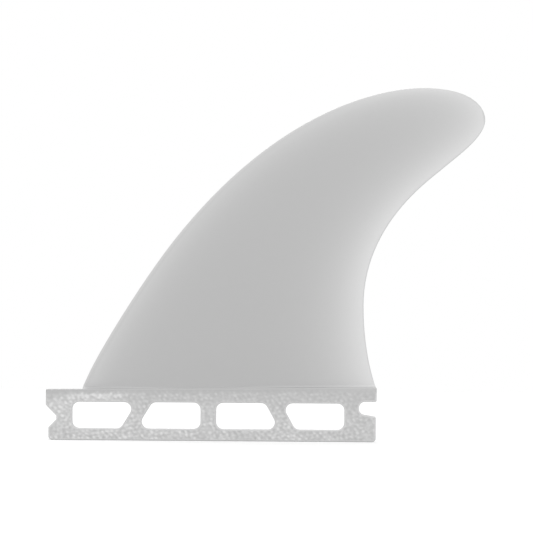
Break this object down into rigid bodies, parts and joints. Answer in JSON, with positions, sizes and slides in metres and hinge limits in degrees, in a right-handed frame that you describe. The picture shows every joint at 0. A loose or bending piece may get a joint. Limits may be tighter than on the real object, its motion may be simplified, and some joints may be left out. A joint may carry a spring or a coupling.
{
  "type": "surfboard fin",
  "caption": "Raked, foiled surfboard fin moulded with a long windowed tab that seats in a fin box, with a pin slot in the tab's rear end and a screw notch in its front end",
  "frame": {"origin": "The middle of the tab's foot face, which rests on the floor of the fin box", "axes": "+X aft along the tab, +Y across the board, +Z from the tab's foot to the blade's tip"},
  "size_m": [0.1511, 0.007, 0.1225],
  "materials": {
    "resin": "satin"
  },
  "bodies": {
    "root": {"fin": "resin"}
  },
  "joints": []
}
